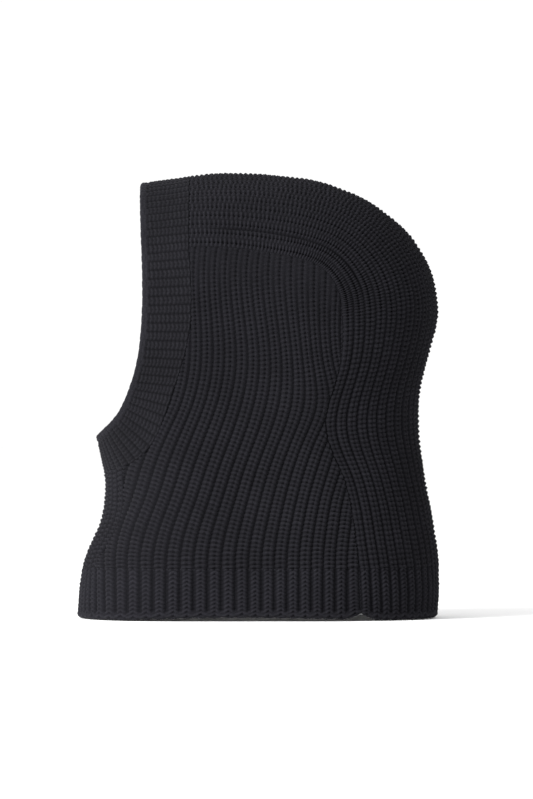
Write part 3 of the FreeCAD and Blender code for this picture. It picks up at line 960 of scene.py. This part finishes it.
def panels(panel_wool, band_wool, hem_wool):
    """The knitted panels, with the grids whose borders are the seams."""
    grids = {}
    crown = crown_grid(8, 4)
    left = knitted("crown_back_knit_left", crown, crown_grid(4, 2), PANEL_KNIT, panel_wool)
    right = mirrored_piece(left, "crown_back_knit_right")
    for piece in (left, right):
        finish_piece(piece, "hood", "panel_knit", "crown_back_panel")
        surface_area(crown)
    grids["crown"] = crown

    side = side_grid(10, 0.6)
    left = knitted("side_knit_left", side, side_grid(5, 1.8), PANEL_KNIT, panel_wool)
    right = mirrored_piece(left, "side_knit_right")
    finish_piece(left, "hood", "panel_knit", "side_panel_left")
    finish_piece(right, "hood", "panel_knit", "side_panel_right")
    for piece in (left, right):
        surface_area(side)

    neck = neck_grid(8, 4)
    piece = knitted("front_neck_knit", neck, neck_grid(4, 2), PANEL_KNIT, panel_wool)
    finish_piece(piece, "hood", "panel_knit", "front_neck_panel")
    surface_area(neck)
    grids["neck"] = neck

    band = band_grid(8, 4)
    piece = knitted("face_band_knit", band, band_grid(4, 2), BAND_KNIT, band_wool)
    finish_piece(piece, "hood", "band_knit", "face_band")
    surface_area(band)
    grids["band"] = band

    for name, make in (("hem_rib_front", hem_front_grid), ("hem_rib_back", hem_back_grid)):
        hem = make(10, 4)
        piece = knitted(name + "_knit", hem, make(5, 2), HEM_KNIT, hem_wool)
        finish_piece(piece, "hood", "hem_knit", name)
        length = run_lengths(hem["point"], 1)[0, -1] * METRES_PER_MM
        surface_area(hem)
        grids[name] = hem
    return grids


def seam_yarns(grids, yarn):
    """The linking yarn in every seam, along the border of the panel beside it."""
    def sew(seam, path, away):
        finish_piece(linking_yarn(seam + "_yarn", path, away, yarn), "hood", "linking_yarn", seam)

    front, back, band = grids["hem_rib_front"], grids["hem_rib_back"], grids["band"]
    for side, sign in (("left", 1.0), ("right", -1.0)):
        flip = np.array([sign, 1.0, 1.0])
        for seam, grid in (("crown_seam_thread_", grids["crown"]),
                           ("neck_seam_thread_", grids["neck"]), ("side_seam_thread_", front)):
            sew(seam + side, grid["point"][:, -1] * flip, grid["outward"][:, -1] * flip)
    for seam, grid in (("band_seam_thread", band), ("hem_seam_thread_front", front),
                       ("hem_seam_thread_back", back)):
        sew(seam, grid["point"][-1], grid["outward"][-1])
    centre_plane = np.array([0.0, 1.0, 1.0])
    away = unit(band["outward"][:, -1] * centre_plane)
    sew("chin_seam_thread", (band["point"][:, -1] * centre_plane)[4:], away[4:])


# ---------------------------------------------------------------- labels
def label_place(label, points):
    """From a label's own axes (across, thickness, up) to its place in the hood."""
    points = np.asarray(points, float)
    if "lean" in label:
        points = np.stack([points[..., 2], points[..., 1], -points[..., 0]], axis=-1)
        turn = math.radians(90.0 - label["lean"])
        x = points[..., 0] * math.cos(turn) - points[..., 1] * math.sin(turn)
        y = points[..., 0] * math.sin(turn) + points[..., 1] * math.cos(turn)
        points = np.stack([x, y, points[..., 2]], axis=-1)
    return points + np.array(label["top"])


def label_tape(name, label, material):
    """A woven tape with a soft bow, a folded end and a slightly uneven lower corner."""
    rows, columns = 61, 41
    across = np.linspace(-0.5, 0.5, columns)[None] * label["width"]
    down = np.linspace(0.0, 1.0, rows)[:, None]
    bow = 0.9 * np.sin(math.pi * down) * (1.0 - (across / label["width"]) ** 2)
    fold = smooth_step((down - 0.82) / 0.03)
    half = 0.5 * LABEL_THICKNESS * (0.62 + 0.38 * fold)
    wave = 0.25 * np.sin(3.0 * math.pi * across / label["width"]) * down
    sheets = []
    for sign in (1.0, -1.0):
        local = np.broadcast_arrays(across, bow + wave + sign * half, -label["drop"] * down)
        sheets.append(label_place(label, np.stack(local, axis=-1)))
    still = np.zeros(rows, int)
    last = still + columns - 1
    points = np.concatenate([sheet.reshape(-1, 3) for sheet in sheets])
    count = rows * columns
    quads, _ = grid_faces(still, last, 0, columns)
    rims = [zipped(points, a, b) for a, b in zip(border(still, last, 0, columns),
                                                 border(still, last, count, columns))]
    u = np.broadcast_to(np.linspace(0.02, 0.98, columns)[None], (rows, columns))
    v = np.broadcast_to(np.linspace(0.02, 0.48, rows)[:, None], (rows, columns))
    uv = np.concatenate([np.stack([u, v], -1).reshape(-1, 2),
                         np.stack([u, v + 0.5], -1).reshape(-1, 2)])
    four = np.concatenate([quads, quads[:, ::-1] + count])
    return mesh_piece(name, points, [four[:, ::-1], np.concatenate(rims)[:, ::-1]], uv, material)


def label_stitches(name, label, material):
    """Short stitches through the top of a label, each a bar with ends that dip into the tape."""
    pitch = label["width"] / LABEL_STITCHES
    tubes = []
    for i in range(LABEL_STITCHES):
        start = (i + 0.25) * pitch - 0.5 * label["width"]
        t = np.linspace(0.0, 1.0, 13)
        dip = 0.55 * (1.0 - np.sin(math.pi * t) ** 0.5)
        local = np.stack([start + 0.5 * pitch * t, -0.5 * LABEL_THICKNESS - 0.25 + dip,
                          np.full(13, -2.0)], axis=1)
        path = label_place(label, local)
        away = label_place(label, local - [0.0, 1.0, 0.0]) - path
        tubes.append(tube(path, away, 0.38))
    return joined_tubes(name, tubes, material)


def labels(tape, thread):
    """The two blank labels, each a tape that hangs from its stitches."""
    for name, label in (("neck_label", NECK_LABEL), ("care_label", CARE_LABEL)):
        piece = label_tape(name + "_tape", label, tape)
        finish_piece(piece, name + "_flap", "label_tape", name)
        stitches = label_stitches(name + "_stitch_thread", label, thread)
        finish_piece(stitches, name + "_flap", "label_thread", name + "_stitches")


# ---------------------------------------------------------------- studio
# The view, in metres, with its height at the centre plane; the lens and the sensor, in mm.
VIEW_CENTRE = (0.0, 0.0062, 0.1792)
VIEW_HEIGHT = 0.6584
LENS = 300.0
SENSOR = 36.0


def look_at(thing, target):
    """Turns a camera or a lamp towards a point."""
    away = np.array(thing.location) - np.array(target)
    yaw = math.atan2(away[1], away[0])
    pitch = math.atan2(away[2], math.hypot(away[0], away[1]))
    thing.rotation_euler = (math.pi / 2 - pitch, 0.0, yaw + math.pi / 2)


def camera():
    """Level, square to the wearer's left side, with the height of the view at the centre plane."""
    data = bpy.data.cameras.new("camera")
    data.lens = LENS
    data.sensor_width = SENSOR
    data.clip_end = 100.0
    made = bpy.data.objects.new("camera", data)
    made.location = (VIEW_HEIGHT * LENS / SENSOR, VIEW_CENTRE[1], VIEW_CENTRE[2])
    look_at(made, VIEW_CENTRE)
    bpy.context.scene.collection.objects.link(made)
    bpy.context.scene.camera = made


def area_light(name, place, size, power):
    """A square lamp aimed at the middle of the hood."""
    data = bpy.data.lights.new(name, "AREA")
    data.size = size
    data.energy = power
    made = bpy.data.objects.new(name, data)
    made.location = place
    look_at(made, (0.0, 0.0, 0.18))
    bpy.context.scene.collection.objects.link(made)


def studio():
    """A white floor under an even white light, and a soft key from the front left."""
    bpy.ops.mesh.primitive_plane_add(size=40.0, location=(0.0, 0.0, -0.0006))
    floor = bpy.context.object
    floor.name = "floor"
    paint = bpy.data.materials.new("floor_white")
    paint.use_nodes = True
    shader = paint.node_tree.nodes["Principled BSDF"]
    shader.inputs["Base Color"].default_value = (0.96, 0.96, 0.96, 1.0)
    shader.inputs["Roughness"].default_value = 0.9
    floor.data.materials.append(paint)
    world = bpy.data.worlds.new("studio")
    world.use_nodes = True
    sky = world.node_tree.nodes["Background"]
    sky.inputs["Color"].default_value = (1.0, 1.0, 1.0, 1.0)
    sky.inputs["Strength"].default_value = 1.05
    bpy.context.scene.world = world
    bpy.context.scene.view_settings.view_transform = "Standard"
    area_light("key", (2.0, -2.2, 1.2), 1.7, 248.0)


def main():
    """Builds the hood, its labels and the studio."""
    panel_wool = wool("panel_wool", (0.0082, 0.0079, 0.0100))
    band_wool = wool("band_wool", (0.0066, 0.0064, 0.0080), 0.35)
    hem_wool = wool("hem_wool", (0.0097, 0.0094, 0.0119))
    yarn = wool("linking_wool", (0.0090, 0.0088, 0.0110), 0.0)
    tape = woven("label_satin", (0.030, 0.030, 0.032), 700.0)
    thread = woven("label_sewing_thread", (0.022, 0.022, 0.025), 900.0)
    grids = panels(panel_wool, band_wool, hem_wool)
    seam_yarns(grids, yarn)
    labels(tape, thread)
    camera()
    studio()


main()
